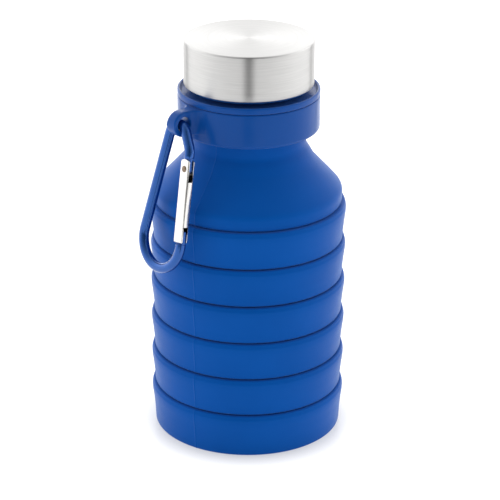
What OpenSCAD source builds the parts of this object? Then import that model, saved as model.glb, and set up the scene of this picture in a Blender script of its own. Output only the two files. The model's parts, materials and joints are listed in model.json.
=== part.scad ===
// Folding water bottle: a soft ribbed body that collapses ring on ring, a threaded spout,
// a steel screw cap, and a spring-gate carabiner that hangs from an ear on the collar.
// Origin: centre of the base, on the surface that the bottle stands on. +Z is up.

/* [Folding body] */
// Outer radius of every fold, at its lip
lip_r = 40; // [38:0.5:41]
// Height of the base cup, from the floor to the first groove
base_h = 18.1; // [16:0.1:20]
// Height of one fold, from groove to groove
fold_pitch = 16; // [15:0.5:17]
// Height of the stiff ring at the top of each fold
ring_h = 4; // [3.5:0.1:5]
// Inner radius of the stiff rings
ring_inner_r = 36.9; // [36:0.1:37.5]
// Inner radius of the thin webs between the rings
web_inner_r = 37.3; // [37:0.1:37.6]
// Thickness of the bottle's floor
floor_t = 3; // [2:0.5:4]

/* [Neck and collar] */
// Outer radius of the soft neck
neck_r = 23.2; // [22.8:0.1:23.6]
// Inner radius of the soft neck, which grips the spout
neck_inner_r = 21.2; // [21:0.1:21.6]
// Outer radius of the collar and of the spout's flange
collar_r = 28.7; // [28.2:0.1:29]
// Height of the collar above the floor, at its lower edge
collar_z = 129.3; // [128:0.1:130]
// Height of the seam between the collar and the spout's flange
flange_z = 143.5; // [143:0.1:144]
// Height of the flange's rim
rim_z = 146.2; // [145.8:0.1:146.4]
// Angle of the ear, to the left of the front
ear_angle = 50; // [0:1:90]

/* [Spout and cap] */
// Inner radius of the mouth
mouth_r = 18.6; // [17.5:0.1:19]
// Height of the mouth above the floor
mouth_z = 160; // [159:0.1:160.4]
// Rise of the cap in one whole turn
thread_lead = 8; // [7:0.5:9]
// Outer radius of the steel cap
cap_r = 26.2; // [26:0.1:26.6]
// Height of the steel cap's lower edge
cap_low_z = 148; // [147.8:0.1:148.4]
// Height of the cap's top
cap_top_z = 166.4; // [166:0.1:167]

/* [Carabiner] */
// Diameter of the frame's rod
rod_d = 4.1; // [3.6:0.1:4.2]
// Length of the rod's centreline loop, from the top bend to the bottom bend
loop_h = 58.5; // [57:0.5:60]
// Lean of the carabiner away from the bottle, at rest
lean = 12.5; // [12:0.5:16]
// Depth of the gate, seen from the side of the loop
gate_w = 5; // [4.6:0.1:5.2]
// Thickness of the gate, across the loop's plane
gate_t = 3.2; // [3:0.1:3.6]

/* [Hidden] */
$fn = 96;

fold_count = 5;
web_gap = 0.05;      // between a web and the ring above it, which is another body

// ear
ear_hole_rho = 34.8; // hole centre, from the bottle's axis
ear_hole_z = 138.1;
ear_round_r = 5.1;   // outer round of the ear
ear_t = 5;
ear_hole_r = 3;
ear_flare = 0.6;     // the hole's ends open by this much
ear_fillet_r = 4;    // hollow on each side, where the ear meets the collar
collar_inner_r = neck_r;

// thread
thread_starts = 2;
thread_step = 7.5;   // degrees
thread_root_r = 20.8;
thread_crest_r = 22;
thread_sweep = 400;  // degrees
thread_ramp = 30;    // degrees over which the ridge grows from nothing
ridge_root_half = 0.85;
ridge_crest_half = 0.45;
ridge_embed = 0.3;
spout_thread_z = 149.2;
liner_thread_z = 147.2;
liner_thread_from = 40;
liner_bore_r = 22.5;
liner_crest_r = 21.2;

// cap
shell_t = 0.5;
shell_edge_r = 1.2;
liner_low_z = 147;
liner_lip_r = 25.2;
liner_ceiling_z = 162.5;
gasket_r = 22.2;
gasket_bore_r = 17.9;
gasket_h = 2.1;
gasket_gap = 0.1;

// carabiner, in its own plane: x towards the gate, y down the loop, z towards the bottle
rod_r = rod_d / 2;
joint_step = 0.03;   // the straights are this much thinner than the bends
joint_reach = 0.3;
clip_rho = 35;       // top bend's centreline, from the bottle's axis
clip_z = 137.8;
top_bend = [0, 5.2, 5.2];                    // centre x, centre y, radius
knee_bend = [1.5, 10.6, 6.9];
low_bend = [0.8, loop_h - 11.6, 11.6];
gate_top = 3.8;      // gate's upper end above the rivet
gate_low = 29.4;     // gate's lower end below the rivet
gate_inset = 0.4;    // rivet inside the rod's centreline
rivet_along = 6;     // rivet below the knee
hinge_slot = 5;      // hinge slot's closed end below the rivet
nose_slot = 6.3;     // nose slot's depth
slot_t = 2;
tab_t = 1.5;
tab_r = 2;
gate_gap = 0.45;     // between the gate's ends and the rod's shoulders
tongue_h = 4.6;
tongue_w = 3.4;
gate_web_t = 1;      // closed side of the nose slot, which stops the gate on the tongue
rivet_r = 1;
rivet_hole_r = 1.05;
rivet_head_r = 1.4;
rivet_head_h = 0.35;
bore_r = 1;          // spring's bore in the gate
bore_low = 17;
spring_r = 0.72;
spring_wire_r = 0.13;
spring_turns = 8;
spring_step = 30;    // degrees
follower_r = 0.85;
follower_top = 2.3;
follower_h = 4.7;

// ---- shared shapes ----

// points of an arc in a section: centre, radius, first and last angle, number of steps
function arc(c, r, a0, a1, n = 5) =
    [for (i = [0:n]) let (a = a0 + (a1 - a0) * i / n) [c[0] + r * cos(a), c[1] + r * sin(a)]];

module turned(points) rotate_extrude() polygon(points);

// the outside of a fold: depth below its groove, and how far it is inside the lip
ring_outline = [[0, 1.0], [0.4, 0.35], [1.1, 0.06], [2.2, 0], [ring_h, 0.12]];
web_outline = [
    [ring_h, 0.12], [8, 0.65], [12, 1.05], [14.8, 1.3], [15.4, 1.55], [15.7, 1.95], [15.8, 2.4]
];

function groove_z(k) = base_h + (fold_count + 1 - k) * fold_pitch;

module fold_ring(k)
    color("royalblue")
    turned(concat(
        [[ring_inner_r, groove_z(k)]],
        [for (p = ring_outline) [lip_r - p[1], groove_z(k) - p[0]]],
        [[ring_inner_r, groove_z(k) - ring_h]]
    ));

module fold_web(k)
    color("cornflowerblue")
    turned(concat(
        [[web_inner_r, groove_z(k) - ring_h - web_gap]],
        [for (i = [0:len(web_outline) - 1])
            [lip_r - web_outline[i][1], groove_z(k) - web_outline[i][0] - (i == 0 ? web_gap : 0)]],
        [[lip_r - 2.4, groove_z(k) - fold_pitch]],
        [[web_inner_r, groove_z(k) - fold_pitch]]
    ));

// ---- soft body ----

module base_cup()
    color("royalblue")
    turned(concat(
        [[0, 0]],
        arc([37.1, 1.6], 1.6, -90, 0),
        [[39.0, 7], [39.5, 12]],
        [for (i = [len(ring_outline) - 1:-1:0])
            [lip_r - ring_outline[i][1], base_h - ring_outline[i][0]]],
        [[ring_inner_r, base_h]],
        arc([ring_inner_r - 4, floor_t + 4], 4, 0, -90),
        [[0, floor_t]]
    ));

module shoulder_neck()
    color("royalblue")
    turned(concat(
        [[ring_inner_r - 0.9, groove_z(1)], [37.6, groove_z(1)], [38.1, groove_z(1) + 0.6]],
        arc([33.9, 102.4], 4.4, 0, 42),
        [[24.8, 119], [23.6, 120.4], [neck_r, 122], [neck_r, flange_z - 0.1]],
        [[neck_inner_r, flange_z - 0.1], [neck_inner_r, 122.4], [23.2, 118.4]],
        arc([33.2, 101.6], 2.8, 40, 0)
    ));

// ---- collar and spout ----

// turned to the ear: x outwards from the bottle's axis, y along the ear's hole
module at_ear() rotate([0, 0, -90 - ear_angle]) children();

module ear_side_view()
    rotate([90, 0, 0])
    linear_extrude(3 * ear_t, center = true) {
        translate([ear_hole_rho, ear_hole_z]) circle(ear_round_r);
        translate([collar_r - 3, ear_hole_z - ear_round_r])
            square([ear_hole_rho - collar_r + 3, 2 * ear_round_r]);
    }

// the ear from above: a straight tongue with a hollow on each side
module ear_top_view()
    translate([0, 0, collar_z])
    linear_extrude(flange_z - collar_z)
    difference() {
        translate([collar_r - 3, -ear_t / 2 - ear_fillet_r])
            square([ear_hole_rho + ear_round_r, ear_t + 2 * ear_fillet_r]);
        for (side = [-1, 1]) {
            translate([collar_r + ear_fillet_r - 0.4, side * (ear_t / 2 + ear_fillet_r)])
                circle(ear_fillet_r);
            translate([collar_r + ear_fillet_r - 0.4, side > 0 ? ear_t / 2 : -ear_t / 2 - 9])
                square([14, 9]);
        }
    }

module ear_hole()
    translate([ear_hole_rho, 0, ear_hole_z])
    rotate([90, 0, 0]) {
        cylinder(r = ear_hole_r, h = 4 * ear_t, center = true);
        for (side = [-1, 1])
            rotate([0, side > 0 ? 0 : 180, 0])
            translate([0, 0, ear_t / 2 - 1.2])
            cylinder(r1 = ear_hole_r, r2 = ear_hole_r + 2 * ear_flare, h = 2.4);
    }

module collar_ring() {
    edge = 0.9;
    top = flange_z - 0.05;
    turned(concat(
        [[collar_inner_r, collar_z], [collar_r - edge, collar_z]],
        arc([collar_r - edge, collar_z + edge], edge, -90, 0),
        arc([collar_r - edge / 2, top - edge / 2], edge / 2, 0, 90, 3),
        [[collar_inner_r, top]]
    ));
}

module carry_collar()
    color("mediumblue")
    difference() {
        union() {
            collar_ring();
            at_ear() intersection() {
                ear_side_view();
                ear_top_view();
            }
        }
        at_ear() ear_hole();
    }

module spout()
    color("mediumblue")
    turned(concat(
        [[mouth_r, 118], [neck_inner_r - 0.6, 118], [neck_inner_r, 119.4]],
        [[neck_inner_r, flange_z], [collar_r - 0.6, flange_z]],
        arc([collar_r - 0.6, flange_z + 0.6], 0.6, -90, 0, 3),
        arc([collar_r - 0.5, rim_z - 0.5], 0.5, 0, 90, 3),
        [[collar_r - 1.2, rim_z], [collar_r - 1.4, flange_z + 1.3], [24, flange_z + 1.3]],
        [[thread_root_r, flange_z + 1.8]],
        arc([thread_root_r - 0.8, mouth_z - 0.8], 0.8, 0, 90, 4),
        arc([mouth_r + 0.5, mouth_z - 0.5], 0.5, 90, 180, 3)
    ));

// One start of a thread: a ridge whose section is a trapezium that stands on the root radius
// and points to the crest radius. a0 and a1 are the first and last angle.
module thread_ridge(root_r, crest_r, z_at_zero, a0, a1) {
    n = round((a1 - a0) / thread_step);
    function grow(a) = min(1, (a - a0) / thread_ramp, (a1 - a) / thread_ramp);
    function tip_r(a) = root_r + (crest_r - root_r) * max(0.05, grow(a));
    points = [for (i = [0:n])
        let (a = a0 + (a1 - a0) * i / n, z = z_at_zero + thread_lead * a / 360)
        for (q = [
            [root_r, -ridge_root_half], [tip_r(a), -ridge_crest_half],
            [tip_r(a), ridge_crest_half], [root_r, ridge_root_half]
        ]) [q[0] * cos(a), q[0] * sin(a), z + q[1]]];
    faces = concat(
        [for (i = [0:n - 1], j = [0:3])
            let (p = 4 * i + j, q = 4 * i + (j + 1) % 4)
            [p, q, q + 4, p + 4]],
        [[3, 2, 1, 0], [4 * n, 4 * n + 1, 4 * n + 2, 4 * n + 3]]
    );
    outward = crest_r > root_r;
    polyhedron(points, outward ? [for (f = faces) [for (i = [len(f) - 1:-1:0]) f[i]]] : faces, 4);
}

module spout_thread()
    color("mediumblue")
    for (s = [0:thread_starts - 1])
        rotate([0, 0, 360 * s / thread_starts])
        thread_ridge(thread_root_r - ridge_embed, thread_crest_r, spout_thread_z, 0, thread_sweep);

// ---- cap ----

module lid_shell()
    color("gainsboro")
    turned(concat(
        [[cap_r - shell_t, cap_low_z], [cap_r, cap_low_z]],
        arc([cap_r - shell_edge_r, cap_top_z - shell_edge_r], shell_edge_r, 0, 90, 6),
        [[0, cap_top_z], [0, cap_top_z - shell_t]],
        arc([cap_r - shell_edge_r, cap_top_z - shell_edge_r], shell_edge_r - shell_t, 90, 0, 6)
    ));

module lid_liner()
    color("midnightblue")
    turned([
        [liner_bore_r, liner_low_z], [liner_lip_r, liner_low_z], [liner_lip_r, cap_low_z + 0.4],
        [cap_r - shell_t, cap_low_z + 0.6], [cap_r - shell_t, cap_top_z - 2.2],
        [cap_r - 2, cap_top_z - shell_t], [0, cap_top_z - shell_t],
        [0, liner_ceiling_z], [liner_bore_r, liner_ceiling_z]
    ]);

module liner_thread()
    color("midnightblue")
    for (s = [0:thread_starts - 1])
        rotate([0, 0, 360 * s / thread_starts])
        thread_ridge(liner_bore_r + ridge_embed, liner_crest_r, liner_thread_z,
            liner_thread_from, liner_thread_from + thread_sweep);

module lid_gasket()
    color("white")
    translate([0, 0, mouth_z + gasket_gap])
    difference() {
        cylinder(r = gasket_r, h = gasket_h);
        translate([0, 0, -1]) cylinder(r = gasket_bore_r, h = gasket_h + 2);
    }

// ---- carabiner ----

// The loop is the outline around three circles. This is the angle, seen from a circle's centre,
// at which the straight stretch from circle a to circle b leaves circle a.
function leave(a, b) =
    let (dx = b[0] - a[0], dy = b[1] - a[1])
    atan2(dy, dx) - acos((a[2] - b[2]) / norm([dx, dy]));
function on_bend(bend, a) = [bend[0] + bend[2] * cos(a), bend[1] + bend[2] * sin(a)];

knee_in = leave(top_bend, knee_bend);
knee_out = leave(knee_bend, low_bend);
spine_in = leave(low_bend, top_bend);

// a point on the rod's leg beside the gate, so far below the rivet
function leg_at(along) =
    on_bend(knee_bend, knee_out) + (rivet_along + along) * [-sin(knee_out), cos(knee_out)];
rivet_at = leg_at(0) - gate_inset * [cos(knee_out), sin(knee_out)];

module at_clip()
    translate([-clip_rho * sin(ear_angle), -clip_rho * cos(ear_angle), clip_z])
    rotate([-90 - lean, 0, -ear_angle])
    children();

// x outwards through the gate, y down the gate from the rivet
module at_gate() at_clip() translate(rivet_at) rotate([0, 0, knee_out]) children();

module rod_bend(bend, a0, a1)
    translate([bend[0], bend[1], 0])
    rotate([0, 0, a0])
    rotate_extrude(angle = a1 - a0)
    translate([bend[2], 0])
    circle(rod_r, $fn = 48);

// a straight, a hair thinner than the bends, that reaches a little way into what it joins
module rod_line(p, q, reach_q = joint_reach)
    translate([p[0], p[1], 0])
    rotate([0, 0, atan2(q[1] - p[1], q[0] - p[0])])
    rotate([0, 90, 0])
    translate([0, 0, -joint_reach])
    cylinder(r = rod_r - joint_step, h = norm(q - p) + joint_reach + reach_q, $fn = 48);

module clip_frame()
    color("royalblue") {
        at_clip() {
            rod_bend(top_bend, spine_in, knee_in);
            rod_line(on_bend(top_bend, knee_in), on_bend(knee_bend, knee_in));
            rod_bend(knee_bend, knee_in, knee_out);
            rod_line(on_bend(knee_bend, knee_out), leg_at(-gate_top - gate_gap), 0);
            rod_line(on_bend(low_bend, knee_out), leg_at(gate_low + gate_gap), 0);
            rod_bend(low_bend, knee_out, spine_in + 360);
            rod_line(on_bend(low_bend, spine_in), on_bend(top_bend, spine_in));
        }
        hinge_tab();
        nose_tongue();
    }

module hinge_tab()
    at_gate()
    translate([0, 0, -tab_t / 2])
    linear_extrude(tab_t)
    difference() {
        union() {
            circle(tab_r);
            translate([-1.8, -gate_top - gate_gap - 0.5]) square([3.6, gate_top + gate_gap + 0.5]);
        }
        circle(rivet_hole_r);
    }

module nose_tongue()
    at_gate()
    translate([-gate_w / 2 + gate_web_t + 0.3, gate_low - tongue_h, -tab_t / 2])
    cube([tongue_w, tongue_h + gate_gap + 0.5, tab_t]);

module clip_gate()
    color("silver")
    at_gate()
    difference() {
        intersection() {
            translate([-gate_w / 2, -gate_top, -gate_t / 2])
                cube([gate_w, gate_top + gate_low, gate_t]);
            union() {
                cylinder(r = gate_top + 0.2, h = gate_t + 2, center = true);
                intersection() {
                    translate([-gate_w, 0, -gate_t]) cube([2 * gate_w, 2 * gate_low, 2 * gate_t]);
                    cylinder(r = gate_low, h = gate_t + 2, center = true);
                }
            }
        }
        translate([-gate_w, -2 * gate_top, -slot_t / 2])
            cube([2 * gate_w, 2 * gate_top + hinge_slot, slot_t]);
        translate([-gate_w / 2 + gate_web_t, gate_low - nose_slot, -slot_t / 2])
            cube([gate_w, 2 * nose_slot, slot_t]);
        cylinder(r = rivet_r, h = 2 * gate_t, center = true);
        rotate([-90, 0, 0]) cylinder(r = bore_r, h = bore_low, $fn = 32);
    }

module gate_rivet()
    color("lightgray")
    at_gate()
    rotate_extrude($fn = 48)
    polygon(concat(
        [[0, -gate_t / 2 - rivet_head_h], [rivet_head_r - 0.4, -gate_t / 2 - rivet_head_h]],
        [[rivet_head_r, -gate_t / 2], [rivet_r, -gate_t / 2], [rivet_r, gate_t / 2]],
        [[rivet_head_r, gate_t / 2], [rivet_head_r - 0.4, gate_t / 2 + rivet_head_h]],
        [[0, gate_t / 2 + rivet_head_h]]
    ));

module gate_follower()
    color("dimgray")
    at_gate()
    translate([0, follower_top, 0])
    rotate([-90, 0, 0])
    cylinder(r = follower_r, h = follower_h, $fn = 32);

// wire wound round the y axis
module gate_spring() {
    low = follower_top + follower_h + spring_wire_r;
    high = bore_low - spring_wire_r;
    n = spring_turns * 360 / spring_step;
    sides = 6;
    points = [for (i = [0:n], j = [0:sides - 1])
        let (a = i * spring_step, b = j * 360 / sides, r = spring_r + spring_wire_r * cos(b))
        [r * cos(a), low + (high - low) * i / n + spring_wire_r * sin(b), r * sin(a)]];
    faces = concat(
        [for (i = [0:n - 1], j = [0:sides - 1])
            let (p = sides * i + j, q = sides * i + (j + 1) % sides)
            [p, q, q + sides, p + sides]],
        [[for (j = [sides - 1:-1:0]) j], [for (j = [0:sides - 1]) sides * n + j]]
    );
    color("dimgray") at_gate() polyhedron(points, faces, 4);
}

base_cup();
fold_ring(1);  // fold_ring_1
fold_ring(2);  // fold_ring_2
fold_ring(3);  // fold_ring_3
fold_ring(4);  // fold_ring_4
fold_ring(5);  // fold_ring_5
fold_web(1);  // fold_web_1
fold_web(2);  // fold_web_2
fold_web(3);  // fold_web_3
fold_web(4);  // fold_web_4
fold_web(5);  // fold_web_5
shoulder_neck();
carry_collar();
spout();
spout_thread();
lid_shell();
lid_liner();
liner_thread();
lid_gasket();
clip_frame();
clip_gate();
gate_rivet();
gate_spring();
gate_follower();
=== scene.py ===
"""Looks of the folding water bottle: silicone body, collar, spout, steel cap and carabiner.

Every size below is in millimetres in the bottle's own frame, and is turned into metres where a mesh
is made. Sections are (radius, height) points that are turned about the bottle's axis.
"""
import json
import math

import bmesh
import bpy
from mathutils import Matrix, Vector


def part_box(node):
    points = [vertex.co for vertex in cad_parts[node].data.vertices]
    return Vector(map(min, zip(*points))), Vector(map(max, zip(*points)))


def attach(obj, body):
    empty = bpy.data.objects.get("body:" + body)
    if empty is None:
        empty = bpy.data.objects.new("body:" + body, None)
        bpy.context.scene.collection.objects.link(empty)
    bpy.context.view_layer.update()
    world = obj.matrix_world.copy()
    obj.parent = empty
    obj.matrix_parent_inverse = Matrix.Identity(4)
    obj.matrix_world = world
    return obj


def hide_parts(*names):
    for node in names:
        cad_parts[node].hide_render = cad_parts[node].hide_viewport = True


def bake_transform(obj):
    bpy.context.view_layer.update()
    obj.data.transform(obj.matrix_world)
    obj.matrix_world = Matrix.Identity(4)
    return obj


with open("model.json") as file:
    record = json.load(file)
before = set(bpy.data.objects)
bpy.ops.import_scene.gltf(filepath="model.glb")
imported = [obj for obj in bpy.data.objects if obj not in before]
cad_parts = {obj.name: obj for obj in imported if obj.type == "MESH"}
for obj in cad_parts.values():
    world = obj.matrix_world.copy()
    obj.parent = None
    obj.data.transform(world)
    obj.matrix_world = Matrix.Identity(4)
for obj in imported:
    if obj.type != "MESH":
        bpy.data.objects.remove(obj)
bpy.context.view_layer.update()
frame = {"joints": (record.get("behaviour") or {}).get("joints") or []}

MM = 0.001
TURN = 2 * math.pi
SPECK = 0.000002        # metres: points closer than this are one point
SHARP_DEG = 40          # edges above this angle stay crisp
FINE_SHARP_DEG = 50     # the same on the threads
SIDES = 200             # steps round the axis on a large turned piece


# ---- measures, from the frame ----

def low(node):
    """Lowest corner of a CAD node, in millimetres."""
    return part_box(node)[0] / MM


def high(node):
    """Highest corner of a CAD node, in millimetres."""
    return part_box(node)[1] / MM


def joint(name):
    """A joint of the record, by name."""
    return next(j for j in frame["joints"] if j["name"] == name)


FOLDS = 5
LIP_R = high("fold_ring_1").x
BASE_H = high("base_cup").z
GROOVES = {k: high(f"fold_ring_{k}").z for k in range(1, FOLDS + 1)}
PITCH = GROOVES[1] - GROOVES[2]
RING_H = GROOVES[1] - low("fold_ring_1").z
NECK_TOP = high("shoulder_neck").z
COLLAR_R = high("spout").x
COLLAR_LOW = low("carry_collar").z
FLANGE_Z = high("carry_collar").z + 0.05
MOUTH_Z = high("spout").z
CAP_R = high("lid_shell").x
CAP_LOW = low("lid_shell").z
CAP_TOP = high("lid_shell").z
LINER_LOW = low("lid_liner").z
GASKET_LOW = low("lid_gasket").z
GASKET_TOP = high("lid_gasket").z
GASKET_R = high("lid_gasket").x

ROOT_R = 37.4           # bottom of the grooves
WALL_R = 36.9           # inside of the silicone body
FLOOR_T = 3.0           # the base's floor
FLOOR_CORNER = 5.0
FOOT_RISE = 1.3         # the recess under the base
NECK_R = 23.2
NECK_INNER_R = 21.2
RIM_Z = 146.2           # top of the rim on the spout's flange
MOUTH_R = 18.6

# the mould's parting line: where it runs, how it swells, and where the mesh is finer for it
SEAM_ANGLES = (math.radians(-123), math.radians(57))
SEAM_STEPS_DEG = (-1.1, -0.75, -0.5, -0.25, 0, 0.25, 0.5, 0.75, 1.1)
SEAM_HALF_DEG = 0.42
SEAM_REACH = 18.0       # how far in from the widest radius it still shows
SEAM_H = 0.15


# ---- sections ----

def arc(cr, cz, radius, a0, a1, steps=6):
    """Points of an arc in a section, from angle a0 to a1 in degrees."""
    angles = [math.radians(a0 + (a1 - a0) * i / steps) for i in range(steps + 1)]
    return [(cr + radius * math.cos(a), cz + radius * math.sin(a)) for a in angles]


def finer(points, longest=1.5):
    """The same closed section with no stretch longer than that."""
    out = []
    for p, q in zip(points, points[1:] + points[:1]):
        n = max(1, math.ceil(math.dist(p, q) / longest))
        out += [(p[0] + (q[0] - p[0]) * i / n, p[1] + (q[1] - p[1]) * i / n) for i in range(n)]
    return out


def lip(groove):
    """A fold's lip from its ledge in the groove down to where the wall starts, from inside to outside."""
    return (
        [(ROOT_R, groove)]
        + arc(38.9, groove - 0.75, 0.72, 90, 25, 4)
        + arc(37.6, groove - 2.3, 2.38, 32, 0, 5)
        + [(LIP_R - 0.1, groove - RING_H)]
    )


def tuck(groove):
    """The rounded lower edge of a fold, down into the groove below it."""
    return (
        [(LIP_R - 0.62, groove + 8), (LIP_R - 1.05, groove + 4), (LIP_R - 1.2, groove + 1.6)]
        + arc(38.0, groove + 1.1, 0.75, 0, -75, 6)
        + [(ROOT_R, groove + 0.32)]
    )


# ---- meshes ----

def to_mesh(name, verts, faces, sharp=SHARP_DEG):
    """A smooth-shaded mesh object whose edges above the sharp angle stay crisp."""
    mesh = bpy.data.meshes.new(name)
    mesh.from_pydata([tuple(c * MM for c in v) for v in verts], [], faces)
    mesh.update()
    mesh.shade_smooth()
    mesh.set_sharp_from_angle(angle=math.radians(sharp))
    piece = bpy.data.objects.new(name, mesh)
    bpy.context.scene.collection.objects.link(piece)
    return piece


def turn_angles(count, fine_at=()):
    """Angles round the axis, evenly spaced, with a few close ones round each place that needs them."""
    angles = [TURN * i / count for i in range(count)]
    for place in fine_at:
        angles += [(place + math.radians(d)) % TURN for d in SEAM_STEPS_DEG]
    return sorted(angles)


def turned(name, section, count=SIDES, seam=0.0):
    """A closed section turned about the axis. seam is the height of the parting line on the outside."""
    angles = turn_angles(count, SEAM_ANGLES if seam else ())
    section = [p for p, q in zip(section, section[-1:] + section[:-1]) if math.dist(p, q) * MM > SPECK]
    widest = max(r for r, _ in section)
    verts, rows = [], []
    for r, z in section:
        if r < 1e-6:
            rows.append([len(verts)] * len(angles))
            verts.append((0, 0, z))
            continue
        rows.append(list(range(len(verts), len(verts) + len(angles))))
        for a in angles:
            lift = 0.0
            if seam and r > widest - SEAM_REACH:
                off = min(abs((a - s + math.pi) % TURN - math.pi) for s in SEAM_ANGLES)
                lift = seam * math.exp(-((math.degrees(off) / SEAM_HALF_DEG) ** 2))
            verts.append(((r + lift) * math.cos(a), (r + lift) * math.sin(a), z))
    faces = []
    for upper, lower in zip(rows, rows[1:] + rows[:1]):
        for i in range(len(angles)):
            j = (i + 1) % len(angles)
            face = list(dict.fromkeys((upper[i], upper[j], lower[j], lower[i])))
            if len(face) > 2:
                faces.append(face)
    piece = to_mesh(name, verts, faces)
    fix_normals(piece)
    return piece


def fix_normals(piece):
    """Turns every face of a closed piece outwards."""
    bm = bmesh.new()
    bm.from_mesh(piece.data)
    bmesh.ops.recalc_face_normals(bm, faces=bm.faces)
    bm.to_mesh(piece.data)
    bm.free()


def apply_modifiers(piece):
    """Replaces the piece's mesh by what its modifiers make of it."""
    bpy.context.view_layer.update()
    evaluated = piece.evaluated_get(bpy.context.evaluated_depsgraph_get())
    mesh = bpy.data.meshes.new_from_object(evaluated)
    bm = bmesh.new()
    bm.from_mesh(mesh)
    bmesh.ops.remove_doubles(bm, verts=bm.verts, dist=SPECK)
    bmesh.ops.dissolve_degenerate(bm, edges=bm.edges, dist=SPECK)
    bm.to_mesh(mesh)
    bm.free()
    piece.modifiers.clear()
    piece.data = mesh
    mesh.shade_smooth()
    mesh.set_sharp_from_angle(angle=math.radians(SHARP_DEG))


def bevel(piece, width, segments=3, angle=35):
    """Rounds the edges above an angle, once the modifiers are applied."""
    rounded = piece.modifiers.new("bevel", "BEVEL")
    rounded.width = width * MM
    rounded.segments = segments
    rounded.limit_method = "ANGLE"
    rounded.angle_limit = math.radians(angle)


def cut(piece, cutter):
    """Subtracts the cutter from the piece and deletes the cutter."""
    taken = piece.modifiers.new("cut", "BOOLEAN")
    taken.operation = "DIFFERENCE"
    taken.solver = "EXACT"
    taken.object = cutter
    apply_modifiers(piece)
    bpy.data.objects.remove(cutter)


def plate(name, outline, z0, z1):
    """A flat outline given a thickness from z0 to z1."""
    n = len(outline)
    verts = [(x, y, z) for z in (z0, z1) for x, y in outline]
    faces = [[i, (i + 1) % n, n + (i + 1) % n, n + i] for i in range(n)]
    faces += [list(range(n - 1, -1, -1)), list(range(n, 2 * n))]
    piece = to_mesh(name, verts, faces)
    fix_normals(piece)
    return piece


def block(name, lowest, highest):
    """A box between two corners."""
    (x0, y0, z0), (x1, y1, z1) = lowest, highest
    return plate(name, [(x0, y0), (x1, y0), (x1, y1), (x0, y1)], z0, z1)


def rod(name, path, radii, sides=36):
    """A round bar along an open path in the xy plane, with a radius at each point."""
    n = len(path)
    verts = []
    for i, (x, y) in enumerate(path):
        before = path[i - 1] if i > 0 else path[i]
        after = path[i + 1] if i < n - 1 else path[i]
        along = Vector((after[0] - before[0], after[1] - before[1])).normalized()
        for j in range(sides):
            a = TURN * j / sides
            out = radii[i] * math.cos(a)
            verts.append((x + along.y * out, y - along.x * out, radii[i] * math.sin(a)))
    faces = []
    for i in range(n - 1):
        p, q = i * sides, (i + 1) * sides
        faces += [[p + j, p + (j + 1) % sides, q + (j + 1) % sides, q + j] for j in range(sides)]
    faces += [list(range(sides)), list(range((n - 1) * sides, n * sides))]
    piece = to_mesh(name, verts, faces)
    fix_normals(piece)
    return piece


def place(piece, matrix):
    """Moves a piece's mesh, in millimetres, to its place in the bottle's frame."""
    scaled = matrix.copy()
    scaled.translation = matrix.translation * MM
    piece.data.transform(scaled)
    return piece


def join(name, *parts):
    """One object that holds the meshes of several."""
    bm = bmesh.new()
    for part in parts:
        bm.from_mesh(part.data)
        bpy.data.objects.remove(part)
    mesh = bpy.data.meshes.new(name)
    bm.to_mesh(mesh)
    bm.free()
    mesh.shade_smooth()
    mesh.set_sharp_from_angle(angle=math.radians(SHARP_DEG))
    piece = bpy.data.objects.new(name, mesh)
    bpy.context.scene.collection.objects.link(piece)
    return piece


# ---- materials ----

CLOUD_SCALE = 38        # faint cloudiness of moulded colour
PATCH_SCALE = 160       # uneven shine
PATCH_SPREAD = 0.05
GRAIN_STRENGTH = 0.6
SHEEN_ROUGHNESS = 0.4
SHEEN_TINT = (0.75, 0.87, 1, 1)
AROUND_SCALE = 1.6      # how slowly brushing changes round the axis
BRUSH_DARK = 0.86
AXIS_R = 0.0004         # metres: brushing is cut off this close to the axis
COAT_ROUGHNESS = 0.1


def material(name, color, rough, metal=0.0):
    """A new material: (material, its nodes, its links, its shader)."""
    mat = bpy.data.materials.new(name)
    mat.use_nodes = True
    nodes, links = mat.node_tree.nodes, mat.node_tree.links
    shader = nodes["Principled BSDF"]
    shader.inputs["Base Color"].default_value = (*color, 1)
    shader.inputs["Roughness"].default_value = rough
    shader.inputs["Metallic"].default_value = metal
    return mat, nodes, links, shader


def noise(nodes, links, vector, scale, detail=3.0, rough=0.5):
    """Noise over a place vector, round 0.5."""
    n = nodes.new("ShaderNodeTexNoise")
    n.inputs["Scale"].default_value = scale
    n.inputs["Detail"].default_value = detail
    n.inputs["Roughness"].default_value = rough
    links.new(vector, n.inputs["Vector"])
    return n.outputs["Fac"]


def ranged(nodes, links, value, low_to, high_to, low_from=0.3, high_from=0.7):
    """Maps a value's range onto another. The default range is what noise mostly keeps to."""
    m = nodes.new("ShaderNodeMapRange")
    m.inputs["From Min"].default_value = low_from
    m.inputs["From Max"].default_value = high_from
    m.inputs["To Min"].default_value = low_to
    m.inputs["To Max"].default_value = high_to
    links.new(value, m.inputs["Value"])
    return m.outputs["Result"]


def mixed(nodes, links, factor, a, b):
    """A colour between a and b."""
    m = nodes.new("ShaderNodeMix")
    m.data_type = "RGBA"
    m.inputs["A"].default_value = (*a, 1)
    m.inputs["B"].default_value = (*b, 1)
    links.new(factor, m.inputs["Factor"])
    return m.outputs["Result"]


def reckoned(nodes, links, operation, *values):
    """A math node over numbers or sockets."""
    m = nodes.new("ShaderNodeMath")
    m.operation = operation
    for value, socket in zip(values, m.inputs):
        if isinstance(value, (int, float)):
            socket.default_value = value
        else:
            links.new(value, socket)
    return m.outputs["Value"]


def bumped(nodes, links, shader, height, distance, strength=1.0):
    """Fine relief on a shader. distance is in metres."""
    b = nodes.new("ShaderNodeBump")
    b.inputs["Distance"].default_value = distance
    b.inputs["Strength"].default_value = strength
    links.new(height, b.inputs["Height"])
    links.new(b.outputs["Normal"], shader.inputs["Normal"])


def place_vector(nodes):
    """Where a point is on its piece, in metres."""
    return nodes.new("ShaderNodeTexCoord").outputs["Object"]


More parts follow.
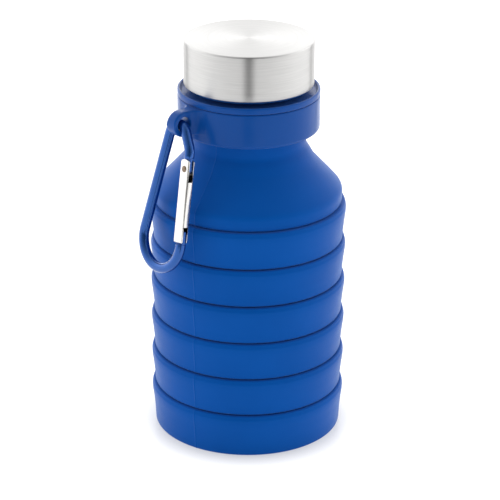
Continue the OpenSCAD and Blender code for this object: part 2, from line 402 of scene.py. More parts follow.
def soft_plastic(name, dark, light, rough, grain, grain_depth, specular, sheen=0.0):
    """Moulded silicone or plastic: faintly cloudy, with a fine sandblasted grain and uneven shine."""
    mat, nodes, links, shader = material(name, dark, rough)
    where = place_vector(nodes)
    cloud = noise(nodes, links, where, CLOUD_SCALE, 4)
    color = mixed(nodes, links, ranged(nodes, links, cloud, 0, 1), dark, light)
    links.new(color, shader.inputs["Base Color"])
    patch = noise(nodes, links, where, PATCH_SCALE, 3)
    shine = ranged(nodes, links, patch, rough - PATCH_SPREAD, rough + PATCH_SPREAD)
    links.new(shine, shader.inputs["Roughness"])
    bumped(nodes, links, shader, noise(nodes, links, where, grain, 2), grain_depth, GRAIN_STRENGTH)
    shader.inputs["Specular IOR Level"].default_value = specular
    shader.inputs["Sheen Weight"].default_value = sheen
    shader.inputs["Sheen Roughness"].default_value = SHEEN_ROUGHNESS
    shader.inputs["Sheen Tint"].default_value = SHEEN_TINT
    return mat


def brushed(name, color, rough, spread, edge_tint, lines=2600.0, depth=0.0000012, anisotropy=0.85):
    """Steel brushed in circles round the bottle's axis.

    spread is how much the shine varies, and edge_tint is how bright it is at a glancing angle.
    """
    mat, nodes, links, shader = material(name, color, rough, 1.0)
    split = nodes.new("ShaderNodeSeparateXYZ")
    links.new(place_vector(nodes), split.inputs["Vector"])

    def reckon(operation, *values):
        return reckoned(nodes, links, operation, *values)

    x, y, z = split.outputs["X"], split.outputs["Y"], split.outputs["Z"]
    square = reckon("ADD", reckon("MULTIPLY", x, x), reckon("MULTIPLY", y, y))
    radius = reckon("MAXIMUM", reckon("SQRT", square), AXIS_R)
    around = nodes.new("ShaderNodeCombineXYZ")
    links.new(reckon("MULTIPLY", reckon("DIVIDE", x, radius), AROUND_SCALE), around.inputs["X"])
    links.new(reckon("MULTIPLY", reckon("DIVIDE", y, radius), AROUND_SCALE), around.inputs["Y"])
    links.new(reckon("MULTIPLY", reckon("ADD", z, radius), lines), around.inputs["Z"])
    streak = noise(nodes, links, around.outputs["Vector"], 1.0, 5, 0.65)
    dark = tuple(c * BRUSH_DARK for c in color)
    shade = mixed(nodes, links, ranged(nodes, links, streak, 0, 1), dark, color)
    links.new(shade, shader.inputs["Base Color"])
    links.new(ranged(nodes, links, streak, rough - spread, rough + spread), shader.inputs["Roughness"])
    bumped(nodes, links, shader, streak, depth)
    shader.inputs["Specular Tint"].default_value = (edge_tint, edge_tint, edge_tint, 1)
    shader.inputs["Anisotropic"].default_value = anisotropy
    shader.inputs["Anisotropic Rotation"].default_value = 0.25
    tangent = nodes.new("ShaderNodeTangent")
    tangent.direction_type = "RADIAL"
    tangent.axis = "Z"
    links.new(tangent.outputs["Tangent"], shader.inputs["Tangent"])
    return mat


def drawn_metal(name, color, tint, rough, direction, metal=1.0, coat=0.0):
    """Metal with fine lines along a direction, as drawn rod or extruded bar has."""
    lines, depth, spread = 9000.0, 0.0000015, 0.03
    mat, nodes, links, shader = material(name, color, rough, metal)
    turn = nodes.new("ShaderNodeMapping")
    turn.inputs["Rotation"].default_value = direction
    turn.inputs["Scale"].default_value = (1, 0.02, 1)
    links.new(place_vector(nodes), turn.inputs["Vector"])
    line = noise(nodes, links, turn.outputs["Vector"], lines, 3, 0.6)
    cloud = noise(nodes, links, place_vector(nodes), 220, 3)
    shade = mixed(nodes, links, ranged(nodes, links, cloud, 0, 1), color, tint)
    links.new(shade, shader.inputs["Base Color"])
    links.new(ranged(nodes, links, line, rough - spread, rough + spread), shader.inputs["Roughness"])
    bumped(nodes, links, shader, line, depth)
    shader.inputs["Coat Weight"].default_value = coat
    shader.inputs["Coat Roughness"].default_value = COAT_ROUGHNESS
    return mat


def wear(piece, mat):
    """Gives a piece one material."""
    piece.data.materials.clear()
    piece.data.materials.append(mat)


def finish_piece(piece, body, slot, mat, *nodes):
    """Gives a rigid piece its body and material, and hides the CAD nodes that it stands for; slot is not
    used.
    """
    wear(piece, mat)
    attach(piece, body)
    if nodes:
        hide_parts(*nodes)


SILICONE = soft_plastic(
    "silicone", (0.0008, 0.083, 0.39), (0.0012, 0.092, 0.425), 0.38,
    grain=5200, grain_depth=0.00003, specular=0.03, sheen=0.25,
)
COLLAR = soft_plastic(
    "collar_plastic", (0.0008, 0.067, 0.325), (0.0012, 0.074, 0.35), 0.22,
    grain=3800, grain_depth=0.000006, specular=0.15, sheen=0.25,
)
LINER = soft_plastic(
    "liner_plastic", (0.01, 0.09, 0.34), (0.012, 0.1, 0.37), 0.28,
    grain=3000, grain_depth=0.00001, specular=0.5,
)
SEAL = soft_plastic(
    "seal_silicone", (0.66, 0.68, 0.69), (0.76, 0.77, 0.78), 0.5,
    grain=4200, grain_depth=0.00002, specular=0.4,
)
STEEL = brushed("brushed_steel", (0.62, 0.616, 0.608), 0.3, 0.02, edge_tint=0.75)


# ---- silicone body ----

def base_section():
    """The base cup: a foot ring, a crisp lower edge and the lowest groove's ledge at its top."""
    outer = list(reversed(arc(37.8, 0.9, 0.9, 0, -90, 6)))
    foot = [(0, FOOT_RISE), (27.5, FOOT_RISE)]
    foot += arc(28.6, FOOT_RISE - 0.4, 0.4, 90, 20, 3) + arc(30.2, 1.0, 1.0, 200, 270, 4)
    inner = arc(WALL_R - FLOOR_CORNER, FLOOR_T + FLOOR_CORNER, FLOOR_CORNER, 0, -90, 8)
    return finer(
        foot + outer + [(LIP_R - 1.05, 6), (LIP_R - 0.55, 11)]
        + list(reversed(lip(BASE_H))) + [(WALL_R, BASE_H)] + inner + [(0, FLOOR_T)],
        2.5,
    )


def fold_section(k):
    """One fold: its lip, and the wall down to the groove below."""
    top = GROOVES[k]
    bottom = top - PITCH
    return finer(lip(top) + tuck(bottom) + [(ROOT_R, bottom), (WALL_R + 0.2, bottom), (WALL_R, top)], 1.2)


def shoulder_section():
    """The shoulder, from the top groove up into the neck."""
    foot = GROOVES[1]
    outer = (
        [(ROOT_R, foot), (ROOT_R, foot + 0.3)]
        + arc(37.4, foot + 1.1, 0.8, -75, -8, 5)
        + [(38.28, foot + 2.6)]
        + arc(33.85, 102.35, 4.45, 0, 42, 8)
        + [(33.85, 109.0), (31.5, 111.5), (29.2, 114.0), (27.0, 116.4)]
        + list(reversed(arc(28.3, 124.2, 5.1, 180, 217, 6)))
    )
    inner = [(NECK_INNER_R, 122.6), (23.0, 118.6), (33.9, 106.1), (36.0, 102.8), (36.0, foot)]
    return finer(outer + [(NECK_R, NECK_TOP), (NECK_INNER_R, NECK_TOP)] + inner, 2.0)


base = turned("base_moulding", base_section(), seam=SEAM_H)
finish_piece(base, "base", "soft_body", SILICONE, "base_cup")

for k in range(1, FOLDS + 1):
    fold = turned(f"fold_{k}_moulding", fold_section(k), seam=SEAM_H)
    wear(fold, SILICONE)
    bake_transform(fold)
    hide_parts(f"fold_ring_{k}", f"fold_web_{k}")

shoulder = turned("shoulder_moulding", shoulder_section(), seam=SEAM_H)
finish_piece(shoulder, "top", "soft_body", SILICONE, "shoulder_neck")


# ---- collar with its ear ----

SWING = joint("clip_swing")
EAR_TURN = math.atan2(SWING["pos_m"][1], SWING["pos_m"][0])
EAR_RHO = 34.8          # the hole's place, from the bottle's axis
EAR_Z = 138.1
EAR_ROUND = 5.1
EAR_HALF = 2.5          # half its thickness
EAR_HOLLOW = 4.0        # radius with which it widens into the collar
EAR_HOLE_R = 3.0
EAR_FLARE_R = 3.35      # the hole's two ends
EAR_CORNER = 0.8


def collar_section():
    """The collar's band round the neck."""
    top = FLANGE_Z - 0.05
    return finer(
        [(NECK_R, COLLAR_LOW + 0.3)] + arc(COLLAR_R - 1.3, COLLAR_LOW + 1.3, 1.3, -90, 0, 7)
        + arc(COLLAR_R - 0.55, top - 0.55, 0.55, 0, 90, 5) + [(COLLAR_R - 2.2, top), (NECK_R, top)],
        2.0,
    )


def ear_mesh():
    """The ear as a loft outwards from the collar: rounded oblong sections that narrow from a wide foot."""
    corner_steps = 6
    stations = 34
    inside = COLLAR_R - 2.0
    tip = EAR_RHO + EAR_ROUND - 0.02
    verts, faces = [], []
    for i in range(stations + 1):
        f = i / stations
        x = inside + (tip - inside) * (1 - (1 - f) ** 1.7)
        half = EAR_HALF
        foot = COLLAR_R + EAR_HOLLOW - 0.6 - x
        if foot > 0:
            half += EAR_HOLLOW - math.sqrt(max(0.0, EAR_HOLLOW**2 - min(foot, EAR_HOLLOW) ** 2))
        rise = EAR_ROUND
        if x > EAR_RHO:
            rise = math.sqrt(max(0.0004, EAR_ROUND**2 - (x - EAR_RHO) ** 2))
        top = min(EAR_Z + rise, FLANGE_Z - 0.15)
        bottom = EAR_Z - rise
        corner = min(EAR_CORNER, (top - bottom) / 2.02, half / 1.01)
        y, low_z, high_z = half - corner, bottom + corner, top - corner
        for cy, cz, a0 in ((y, high_z, 0), (-y, high_z, 90), (-y, low_z, 180), (y, low_z, 270)):
            for s in range(corner_steps + 1):
                a = math.radians(a0 + 90 * s / corner_steps)
                verts.append((x, cy + corner * math.cos(a), cz + corner * math.sin(a)))
    size = 4 * (corner_steps + 1)
    for i in range(stations):
        p, q = i * size, (i + 1) * size
        faces += [[p + j, p + (j + 1) % size, q + (j + 1) % size, q + j] for j in range(size)]
    faces += [list(range(size)), list(range(stations * size, (stations + 1) * size))]
    ear = to_mesh("ear", verts, faces)
    fix_normals(ear)
    return ear


def ear_cutter():
    """The ear's hole, open wider at its two ends."""
    depth = EAR_HALF + 3
    profile = [(0, -depth), (EAR_FLARE_R + 1.4, -depth), (EAR_FLARE_R + 0.02, -EAR_HALF - 0.04)]
    profile += [(EAR_HOLE_R + 0.1, 0.28 - EAR_HALF), (EAR_HOLE_R, 0.5 - EAR_HALF)]
    profile += [(r, -z) for r, z in reversed(profile)]
    hole = turned("ear_hole", profile, 64)
    place(hole, Matrix.Translation((EAR_RHO, 0, EAR_Z)) @ Matrix.Rotation(math.radians(90), 4, "X"))
    return hole


ear = ear_mesh()
cut(ear, ear_cutter())
place(ear, Matrix.Rotation(EAR_TURN, 4, "Z"))
collar = join("collar_with_ear", turned("collar_band", collar_section()), ear)
finish_piece(collar, "top", "collar_plastic", COLLAR, "carry_collar")


# ---- spout ----

THREAD_LEAD = 8.0       # rise in one turn
THREAD_STEP_DEG = 3
THREAD_RUN_OUT_DEG = 30
THREAD_SHAPE = [
    (0, -0.85), (0.55, -0.62), (0.9, -0.4), (1, -0.15), (1, 0.15), (0.9, 0.4), (0.55, 0.62), (0, 0.85),
]
THREAD_SWEEP_DEG = 400
THREAD_ROOT_R = 20.8
THREAD_CREST_R = 22.0
LINER_BORE_R = 22.5
LINER_CREST_R = 21.2


def spout_section():
    """The spout: a tube in the neck, a flange with a raised rim over the collar, and the threaded mouth."""
    trough = FLANGE_Z + 1.3
    return finer(
        [(MOUTH_R, 118.3)] + arc(NECK_INNER_R - 0.8, 118.8, 0.8, -90, 0, 4)
        + [(NECK_INNER_R - 0.02, FLANGE_Z), (COLLAR_R - 0.7, FLANGE_Z)]
        + arc(COLLAR_R - 0.7, FLANGE_Z + 0.7, 0.7, -90, 0, 5)
        + arc(COLLAR_R - 0.6, RIM_Z - 0.6, 0.6, 0, 180, 9)
        + [(COLLAR_R - 1.3, trough + 0.5), (COLLAR_R - 1.8, trough), (24.2, trough)]
        + [(THREAD_ROOT_R, trough + 0.7)]
        + arc(THREAD_ROOT_R - 0.8, MOUTH_Z - 0.8, 0.8, 0, 90, 6)
        + arc(MOUTH_R + 0.5, MOUTH_Z - 0.5, 0.5, 90, 180, 5),
        2.5,
    )


def thread(name, root_r, crest_r, z_zero, first):
    """Two helical ridges with rounded crests that run out at both ends. first is in degrees."""
    steps = int(THREAD_SWEEP_DEG / THREAD_STEP_DEG)
    n = len(THREAD_SHAPE)
    verts, faces = [], []
    for start in (0, 180):
        offset = len(verts)
        for i in range(steps + 1):
            swept = THREAD_SWEEP_DEG * i / steps
            angle = first + swept
            grow = min(1, swept / THREAD_RUN_OUT_DEG, (THREAD_SWEEP_DEG - swept) / THREAD_RUN_OUT_DEG)
            grow = max(0.02, grow * grow * (3 - 2 * grow))
            a = math.radians(angle + start)
            for out, up in THREAD_SHAPE:
                r = root_r + (crest_r - root_r) * out * grow
                verts.append((r * math.cos(a), r * math.sin(a), z_zero + THREAD_LEAD * angle / 360 + up))
        for i in range(steps):
            p, q = offset + i * n, offset + (i + 1) * n
            faces += [[p + j, p + (j + 1) % n, q + (j + 1) % n, q + j] for j in range(n)]
        faces += [list(range(offset, offset + n)), list(range(offset + steps * n, offset + (steps + 1) * n))]
    piece = to_mesh(name, verts, faces, FINE_SHARP_DEG)
    fix_normals(piece)
    return piece


spout = join(
    "spout_moulding",
    turned("spout_tube", spout_section()),
    thread("spout_ridges", THREAD_ROOT_R - 0.1, THREAD_CREST_R, z_zero=149.2, first=0),
)
finish_piece(spout, "top", "collar_plastic", COLLAR, "spout", "spout_thread")


# ---- cap ----

SHELL_T = 0.5
EDGE_R = 0.75           # the cap's top edge
HEM_R = 0.22
GASKET_BORE_R = 17.9
GASKET_EDGE = 0.45


def shell_section():
    """The steel cap: a drawn cup with a rounded hem."""
    hem = arc(CAP_R - HEM_R, CAP_LOW + HEM_R, HEM_R, 180, 360, 6)
    top = arc(CAP_R - EDGE_R, CAP_TOP - EDGE_R, EDGE_R, 0, 90, 10)
    inside = arc(CAP_R - EDGE_R, CAP_TOP - EDGE_R, EDGE_R - SHELL_T, 90, 0, 4)
    return finer(hem + top + [(0, CAP_TOP), (0, CAP_TOP - SHELL_T)] + inside, 3.0)


def liner_section():
    """The plastic liner inside the cap, a little past its hem."""
    inner = CAP_R - SHELL_T - 0.01
    return finer(
        [(LINER_BORE_R, LINER_LOW + 0.3), (LINER_BORE_R + 0.3, LINER_LOW)]
        + arc(inner - 0.9, LINER_LOW + 0.4, 0.4, -90, 0, 4)
        + [(inner - 0.5, CAP_LOW + 0.4), (inner, CAP_LOW + 0.6), (inner, CAP_TOP - 2.2)]
        + [(CAP_R - 2, CAP_TOP - SHELL_T - 0.02), (0, CAP_TOP - SHELL_T - 0.02)]
        + [(0, GASKET_TOP + 0.3), (LINER_BORE_R, GASKET_TOP + 0.3)],
        3.0,
    )


def gasket_section():
    """The flat ring under the liner's ceiling."""
    edge = GASKET_EDGE
    outer, inner = GASKET_R - edge, GASKET_BORE_R + edge
    upper, lower = GASKET_TOP - edge, GASKET_LOW + edge
    return (
        arc(outer, lower, edge, -90, 0, 4) + arc(outer, upper, edge, 0, 90, 4)
        + arc(inner, upper, edge, 90, 180, 4) + arc(inner, lower, edge, 180, 270, 4)
    )


shell = turned("cap_shell", shell_section(), 240)
finish_piece(shell, "lid", "lid_steel", STEEL, "lid_shell")
liner = join(
    "cap_liner",
    turned("liner_cup", liner_section()),
    thread("liner_ridges", LINER_BORE_R + 0.1, LINER_CREST_R, z_zero=147.2, first=40),
)
finish_piece(liner, "lid", "liner_plastic", LINER, "lid_liner", "liner_thread")
gasket = turned("cap_gasket", gasket_section())
finish_piece(gasket, "lid_seal", "seal", SEAL, "lid_gasket")


# ---- carabiner ----

ROD_R = 2.05
ROD_END_CHAMFER = 0.3
TOP_BEND = (0.0, 5.2, 5.2)          # x, y and radius in the loop's own plane
KNEE_BEND = (1.5, 10.6, 6.9)
LOW_BEND = (0.8, 46.9, 11.6)
RIVET_ALONG = 6.0       # from the knee's end
GATE_TOP = 3.8          # the gate's two ends, from the rivet
GATE_LOW = 29.4
GATE_INSET = 0.4        # of the rivet, from the rod's centreline
GATE_HALF_W = 2.5
GATE_HALF_T = 1.6
GATE_GAP = 0.45         # between the gate's ends and the rod's
SLOT_HALF = 1.0
TAB_HALF = 0.75         # half the thickness of the rod's tab and tongue
HINGE_SLOT = 5.0        # closed end, from the rivet
NOSE_SLOT = 6.3         # depth
TONGUE_H = 4.6
SCORE_HALF = 0.16       # the lines along the gate's edges, where its cheeks meet its body
SCORE_DEPTH = 0.35
FAR = 9.0               # past the gate on every side, for the boxes that cut it
RIVET_R = 1.3
RIVET_HEAD = 0.36
SPRING_ENDS = (7.13, 16.87)         # from the rivet, along the gate
SPRING_TURNS = 8
SPRING_R = 0.72
WIRE_R = 0.13
PIN_AT = 2.3            # from the rivet, along the gate
# colour of the painted shade in the gate's two slots
SLOT_SHADE_COLOR = (0.015, 0.016, 0.02, 1)


def leave(a, b):
    """Angle, from circle a's centre, at which the straight from circle a to circle b leaves it."""
    dx, dy = b[0] - a[0], b[1] - a[1]
    return math.atan2(dy, dx) - math.acos((a[2] - b[2]) / math.hypot(dx, dy))


def on_bend(bend, a):
    """The point of a bend at an angle."""
    return (bend[0] + bend[2] * math.cos(a), bend[1] + bend[2] * math.sin(a))


def bend_path(bend, a0, a1, steps):
    """Points along a bend between two angles."""
    return [on_bend(bend, a0 + (a1 - a0) * i / steps) for i in range(steps + 1)]


KNEE_IN = leave(TOP_BEND, KNEE_BEND)
KNEE_OUT = leave(KNEE_BEND, LOW_BEND)
SPINE_IN = leave(LOW_BEND, TOP_BEND)
OUT = Vector((math.cos(KNEE_OUT), math.sin(KNEE_OUT)))
DOWN = Vector((-OUT.y, OUT.x))
RIVET = Vector(on_bend(KNEE_BEND, KNEE_OUT)) + RIVET_ALONG * DOWN - GATE_INSET * OUT

swing_at = Vector(SWING["pos_m"]) / MM
across = -Vector(SWING["axis"]).normalized()
inwards = Vector(joint("gate_open")["axis"]).normalized()
down = inwards.cross(across).normalized()
AT_CLIP = Matrix((
    (across.x, down.x, inwards.x, swing_at.x),
    (across.y, down.y, inwards.y, swing_at.y),
    (across.z, down.z, inwards.z, swing_at.z),
    (0, 0, 0, 1),
))
AT_GATE = AT_CLIP @ Matrix.Translation((RIVET.x, RIVET.y, 0)) @ Matrix.Rotation(KNEE_OUT, 4, "Z")


def frame_path():
    """The rod's centreline, from its end above the gate round the loop to its end below the gate."""
    leg = RIVET + GATE_INSET * OUT
    upper = leg - (GATE_TOP + GATE_GAP) * DOWN
    lower = leg + (GATE_LOW + GATE_GAP) * DOWN
    path = [tuple(upper + s * -DOWN) for s in (0, 0.12, 0.3)]
    path += bend_path(KNEE_BEND, KNEE_OUT, KNEE_IN, 8)
    path += bend_path(TOP_BEND, KNEE_IN, SPINE_IN, 22)
    path += bend_path(LOW_BEND, SPINE_IN + TURN, KNEE_OUT, 56)
    path += [tuple(lower + s * DOWN) for s in (0.3, 0.12, 0)]
    return path


def even(path, step=1.2):
    """The same open path with extra points where it runs straight."""
    out = []
    for p, q in zip(path, path[1:]):
        n = max(1, math.ceil(math.dist(p, q) / step))
        out += [(p[0] + (q[0] - p[0]) * i / n, p[1] + (q[1] - p[1]) * i / n) for i in range(n)]
    return out + [path[-1]]


def hinge_tab():
    """The flat tab of the frame that the rivet goes through."""
    half, tip_r = 1.85, 2.0
    root = -GATE_TOP - GATE_GAP - 0.4
    tip = [math.radians(180 - 180 * i / 20) for i in range(21)]
    outline = [(-half, root)] + [(tip_r * math.cos(a), tip_r * math.sin(a)) for a in tip] + [(half, root)]
    tab = plate("hinge_tab", outline, -TAB_HALF, TAB_HALF)
    bevel(tab, 0.12, 2)
    apply_modifiers(tab)
    return place(tab, AT_GATE)


def nose_tongue():
    """The flat tongue of the frame that the gate's nose closes over."""
    tongue = block(
        "nose_tongue",
        (-GATE_HALF_W + 1.3, GATE_LOW - TONGUE_H, -TAB_HALF),
        (GATE_HALF_W - 0.3, GATE_LOW + GATE_GAP + 0.4, TAB_HALF),
    )
    bevel(tongue, 0.2, 3)
    apply_modifiers(tongue)
    return place(tongue, AT_GATE)


def gate_bar():
    """The gate: a bar with a slot through at its hinge and a slot that is closed on one side at its nose."""
    reach = GATE_TOP + 0.2
    hinge_half = math.asin(GATE_HALF_W / reach)
    nose_half = math.asin(GATE_HALF_W / GATE_LOW)
    hinge_end = [hinge_half * (2 * i / 12 - 1) for i in range(13)]
    nose_end = [nose_half * (1 - 2 * i / 6) for i in range(7)]
    outline = [(reach * math.sin(a), -reach * math.cos(a)) for a in hinge_end]
    outline += [(GATE_LOW * math.sin(a), GATE_LOW * math.cos(a)) for a in nose_end]
    bar = plate("clip_gate_bar", outline, -GATE_HALF_T, GATE_HALF_T)
    bevel(bar, 0.5, 4)
    apply_modifiers(bar)
    cut(bar, block("hinge_slot", (-FAR, -FAR, -SLOT_HALF), (FAR, HINGE_SLOT, SLOT_HALF)))
    nose_slot = (-GATE_HALF_W + 1, GATE_LOW - NOSE_SLOT, -SLOT_HALF)
    cut(bar, block("nose_slot", nose_slot, (FAR, GATE_LOW + FAR, SLOT_HALF)))
    for side in (-1, 1):
        middle = side * (SLOT_HALF + SCORE_HALF)
        cut(bar, block(
            "score",
            (GATE_HALF_W - SCORE_DEPTH, HINGE_SLOT - 0.5, middle - SCORE_HALF),
            (FAR, GATE_LOW - NOSE_SLOT + 0.5, middle + SCORE_HALF),
        ))
    bevel(bar, 0.12, 2, 50)
    apply_modifiers(bar)
    return place(bar, AT_GATE)


def rivet_pin():
    """The rivet, with a domed head at each end."""
    dome = [math.radians(90 * i / 8) for i in range(1, 8)]
    head = [(0, -RIVET_HEAD)] + [(RIVET_R * math.sin(a), -RIVET_HEAD * math.cos(a) ** 0.7) for a in dome]
    section = [(r, z - GATE_HALF_T) for r, z in head + [(RIVET_R, 0)]] + [(0.98, -GATE_HALF_T)]
    section += [(r, -z) for r, z in reversed(section)]
    return place(turned("gate_rivet_pin", section, 48), AT_GATE)


def coil_spring():
    """Wire wound along the gate, in its bore."""
    first, last = SPRING_ENDS
    steps, sides = 20, 10
    count = SPRING_TURNS * steps
    verts = []
    for i in range(count + 1):
        a = TURN * i / steps
        along = first + (last - first) * i / count
        for j in range(sides):
            b = TURN * j / sides
            r = SPRING_R + WIRE_R * math.cos(b)
            verts.append((r * math.cos(a), along + WIRE_R * math.sin(b), r * math.sin(a)))
    faces = []
    for i in range(count):
        p, q = i * sides, (i + 1) * sides
        faces += [[p + j, p + (j + 1) % sides, q + (j + 1) % sides, q + j] for j in range(sides)]
    faces += [list(range(sides)), list(range(count * sides, (count + 1) * sides))]
    spring = to_mesh("gate_coil", verts, faces)
    fix_normals(spring)
    return place(spring, AT_GATE)


def follower_pin():
    """The pin that the spring pushes."""
    section = [(0, 0), (0.5, 0.03), (0.75, 0.2), (0.85, 0.5), (0.85, 4.5), (0.7, 4.7), (0, 4.7)]
    pin = turned("gate_pin", section, 32)
    place(pin, Matrix.Translation((0, PIN_AT, 0)) @ Matrix.Rotation(math.radians(-90), 4, "X"))
    return place(pin, AT_GATE)


def paint_slot_shade(mat):
    """Paints shade into the base colour over the closed ends of the gate's two slots, to keep them as dark
    as their shadow.
    """
    nodes, links = mat.node_tree.nodes, mat.node_tree.links
    shader = nodes["Principled BSDF"]
    back = AT_GATE.inverted()
    turn = nodes.new("ShaderNodeMapping")
    turn.inputs["Rotation"].default_value = back.to_euler()
    turn.inputs["Location"].default_value = back.translation * MM
    links.new(place_vector(nodes), turn.inputs["Vector"])
    split = nodes.new("ShaderNodeSeparateXYZ")
    links.new(turn.outputs["Vector"], split.inputs["Vector"])

    def step(value, start, end, low_to=0, high_to=1):
        return ranged(nodes, links, value, low_to, high_to, start * MM, end * MM)

    length = split.outputs["Y"]
    side = reckoned(nodes, links, "ABSOLUTE", split.outputs["Z"])
    inside = step(side, SLOT_HALF + 0.06, SLOT_HALF + 0.16, 1, 0)
    nose = GATE_LOW - NOSE_SLOT
    at_hinge = reckoned(
        nodes, links, "MULTIPLY",
        step(length, HINGE_SLOT - 3.4, HINGE_SLOT - 2.4),
        step(length, HINGE_SLOT + 0.02, HINGE_SLOT + 0.2, 1, 0),
    )
    at_nose = reckoned(
        nodes, links, "MULTIPLY",
        step(length, nose - 0.2, nose - 0.02),
        step(length, nose + 2.1, nose + 3.3, 1, 0),
    )
    ends = reckoned(nodes, links, "ADD", at_hinge, at_nose)
    # where the painted shade goes: inside the slots, at their closed ends
    painted_shade = reckoned(nodes, links, "MULTIPLY", inside, ends)
    unshaded = shader.inputs["Base Color"].links[0].from_socket
    shade = nodes.new("ShaderNodeMix")
    shade.data_type = "RGBA"
    links.new(painted_shade, shade.inputs["Factor"])
    links.new(unshaded, shade.inputs["A"])
    shade.inputs["B"].default_value = SLOT_SHADE_COLOR
    links.new(shade.outputs["Result"], shader.inputs["Base Color"])


LINE_TURN = AT_GATE.to_3x3().inverted().to_euler()
ANODISED = drawn_metal(
    "blue_anodised", (0.006, 0.078, 0.33), (0.009, 0.09, 0.37), 0.2, LINE_TURN, metal=0.75, coat=0.5,
)
ALUMINIUM = drawn_metal("bare_aluminium", (0.79, 0.775, 0.755), (0.84, 0.83, 0.815), 0.24, LINE_TURN)
# painted shade at the closed ends of the gate's slots
paint_slot_shade(ALUMINIUM)
RIVET_METAL = drawn_metal("rivet_metal", (0.2, 0.15, 0.11), (0.3, 0.23, 0.17), 0.22, LINE_TURN)
SPRING_STEEL = drawn_metal("spring_steel", (0.5, 0.5, 0.5), (0.58, 0.58, 0.57), 0.3, LINE_TURN)

loop_path = even(frame_path())
radii = [ROD_R] * len(loop_path)
radii[0] = radii[-1] = ROD_R - ROD_END_CHAMFER
radii[1] = radii[-2] = ROD_R - ROD_END_CHAMFER / 3
clip = join("clip_loop", place(rod("loop_rod", loop_path, radii), AT_CLIP), hinge_tab(), nose_tongue())
finish_piece(clip, "clip", "clip_anodised", ANODISED, "clip_frame")
finish_piece(gate_bar(), "gate", "gate_metal", ALUMINIUM, "clip_gate")
finish_piece(rivet_pin(), "gate", "rivet_metal", RIVET_METAL, "gate_rivet")
finish_piece(coil_spring(), "gate", "spring_steel", SPRING_STEEL, "gate_spring")
finish_piece(follower_pin(), "gate", "spring_steel", SPRING_STEEL, "gate_follower")


# ---- floor, light and camera ----

SKY = ((0.05, 0.22), (0.5, 1.4), (0.75, 1.85), (0.93, 1.95))    # from front to back: share of the way, light
SKY_TOP = 0.6           # how bright it is overhead, as a share
FLOOR_SIZE = 6.0        # metres
FLOOR_GREY = 0.5
FLOOR_GLOW = 0.75
PAINTED_SHADOW_GLOW = 0.45     # glow where the bottle stands, a painted contact shadow
PAINTED_SHADOW_FADE = 8.0         # from the bottle's side to the full glow: the width of the painted contact shadow
FLAG_AWAY = 0.3         # metres, as are the flags' other sizes
FLAG_TOP = 0.6
FLAGS = (               # name, angle from the camera's side in degrees, half width, darkness
    ("flag_front", 0, 0.065, 0.9),
    ("flag_left", -134, 0.035, 0.6),
    ("flag_right", 134, 0.035, 0.6),
)
CAMERA_AT = (0.0010, -0.8462, 0.4253)
CAMERA_LENS = 159.84
CAMERA_SHIFT = (-0.001, 0.001)
CAMERA_DOWN_DEG = 22.49
CAMERA_ROLL_DEG = 0.30


def make_floor():
    """A pale floor that glows a little, with a painted contact shadow: less glow where the bottle stands."""
    mat, nodes, links, shader = material("pale_floor", (FLOOR_GREY, FLOOR_GREY, FLOOR_GREY), 0.35)
    where = place_vector(nodes)
    links.new(ranged(nodes, links, noise(nodes, links, where, 6, 3), 0.3, 0.4), shader.inputs["Roughness"])
    shader.inputs["Specular IOR Level"].default_value = 0.35
    shader.inputs["Emission Color"].default_value = (1, 1, 1, 1)
    away = nodes.new("ShaderNodeVectorMath")
    away.operation = "LENGTH"
    links.new(where, away.inputs[0])
    start, end = LIP_R * MM, (LIP_R + PAINTED_SHADOW_FADE) * MM
    # painted contact shadow: the glow fades down towards the bottle's side
    glow = ranged(nodes, links, away.outputs["Value"], PAINTED_SHADOW_GLOW, FLOOR_GLOW, start, end)
    links.new(glow, shader.inputs["Emission Strength"])
    corners = [(x * FLOOR_SIZE, y * FLOOR_SIZE, 0) for x, y in ((-1, -1), (1, -1), (1, 1), (-1, 1))]
    mesh = bpy.data.meshes.new("floor")
    mesh.from_pydata(corners, [], [[0, 1, 2, 3]])
    floor = bpy.data.objects.new("floor", mesh)
    bpy.context.scene.collection.objects.link(floor)
    mesh.materials.append(mat)


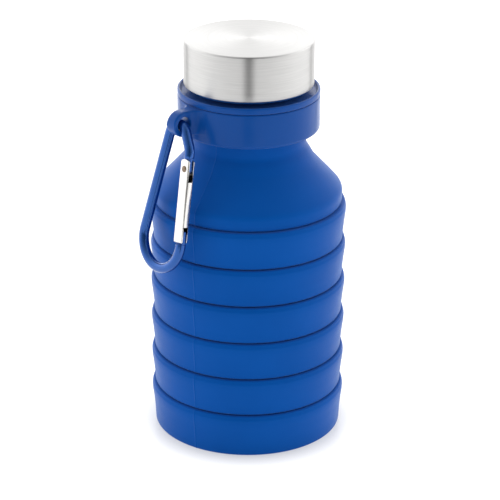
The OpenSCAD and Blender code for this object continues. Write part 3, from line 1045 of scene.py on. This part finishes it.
def make_sky():
    """A studio sky that is dim in front, dimmer overhead, and bright at the sides and behind the bottle."""
    world = bpy.data.worlds.new("studio")
    bpy.context.scene.world = world
    world.use_nodes = True
    nodes, links = world.node_tree.nodes, world.node_tree.links
    split = nodes.new("ShaderNodeSeparateXYZ")
    links.new(nodes.new("ShaderNodeTexCoord").outputs["Generated"], split.inputs["Vector"])
    depth, height = split.outputs["Y"], split.outputs["Z"]
    level = nodes.new("ShaderNodeValToRGB")
    ramp = level.color_ramp
    ramp.elements[0].position = SKY[0][0]
    ramp.elements[1].position = SKY[-1][0]
    for stop in SKY[1:-1]:
        ramp.elements.new(stop[0])
    for element, stop in zip(ramp.elements, SKY):
        element.color = (stop[1], stop[1], stop[1], 1)
    links.new(ranged(nodes, links, depth, 0, 1, -1, 1), level.inputs["Fac"])
    links.new(level.outputs["Color"], nodes["Background"].inputs["Color"])
    dimming = ranged(nodes, links, height, 1.0, SKY_TOP, 0.55, 0.95)
    links.new(dimming, nodes["Background"].inputs["Strength"])


def make_flag(name, angle, half_width, density):
    """A dark strip that stands near the bottle and shows only in reflections."""
    mat, nodes, links, shader = material(name, (0.01, 0.01, 0.01), 1.0)
    shader.inputs["Specular IOR Level"].default_value = 0
    split = nodes.new("ShaderNodeSeparateXYZ")
    links.new(nodes.new("ShaderNodeTexCoord").outputs["Generated"], split.inputs["Vector"])
    middle = reckoned(nodes, links, "PINGPONG", split.outputs["X"], 0.5)
    links.new(ranged(nodes, links, middle, 0, density, 0, 0.4), shader.inputs["Alpha"])
    mesh = bpy.data.meshes.new(name)
    corners = [(x * half_width, 0, z) for x, z in ((-1, 0), (1, 0), (1, FLAG_TOP), (-1, FLAG_TOP))]
    mesh.from_pydata(corners, [], [[0, 1, 2, 3]])
    flag = bpy.data.objects.new(name, mesh)
    bpy.context.scene.collection.objects.link(flag)
    mesh.materials.append(mat)
    turn = Matrix.Rotation(math.radians(angle), 4, "Z")
    flag.matrix_world = turn @ Matrix.Translation((0, -FLAG_AWAY, 0))
    flag.visible_camera = flag.visible_diffuse = flag.visible_shadow = False
    flag.visible_transmission = False


def make_camera():
    """The camera, matched to the photo."""
    data = bpy.data.cameras.new("camera")
    data.lens = CAMERA_LENS
    data.sensor_width = 36
    data.shift_x, data.shift_y = CAMERA_SHIFT
    data.clip_start, data.clip_end = 0.05, 50
    camera = bpy.data.objects.new("camera", data)
    bpy.context.scene.collection.objects.link(camera)
    pitch = Matrix.Rotation(math.radians(90 - CAMERA_DOWN_DEG), 4, "X")
    roll = Matrix.Rotation(math.radians(CAMERA_ROLL_DEG), 4, "Z")
    camera.matrix_world = Matrix.Translation(CAMERA_AT) @ pitch @ roll
    bpy.context.scene.camera = camera


make_floor()
make_sky()
for flag_of in FLAGS:
    make_flag(*flag_of)
make_camera()
bpy.context.scene.view_settings.view_transform = "Standard"
